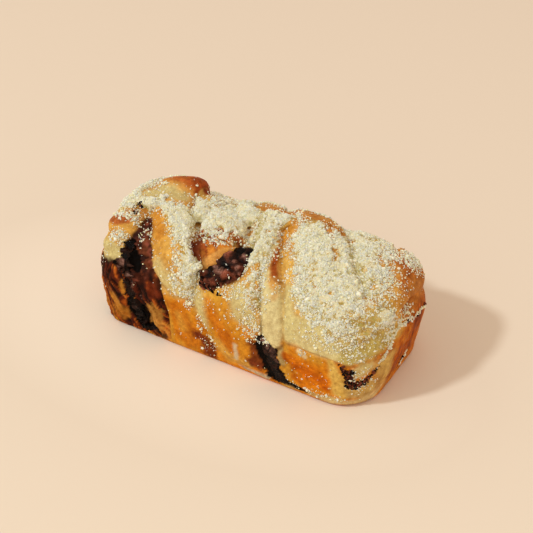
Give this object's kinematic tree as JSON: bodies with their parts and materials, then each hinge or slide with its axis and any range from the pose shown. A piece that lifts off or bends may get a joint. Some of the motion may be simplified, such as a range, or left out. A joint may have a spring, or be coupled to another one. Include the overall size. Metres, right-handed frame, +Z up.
{
  "type": "babka",
  "caption": "Twisted sweet loaf baked in a tin, with dark chocolate filling showing where the strands part and a pale crumb topping; it stands flat on its base.",
  "frame": {"origin": "centre of the base, on the floor", "axes": "+X along the loaf's length, +Z up, the side where the strands part faces -Y"},
  "size_m": [0.2168, 0.1059, 0.0939],
  "materials": {
    "crust": "baked golden to brown crust, satin",
    "chocolate": "dark baked chocolate, patchy gloss",
    "crumb": "pale butter crumb, dull"
  },
  "bodies": {
    "root": {"dough": "crust", "filling": "chocolate", "streusel": "crumb"}
  },
  "joints": []
}
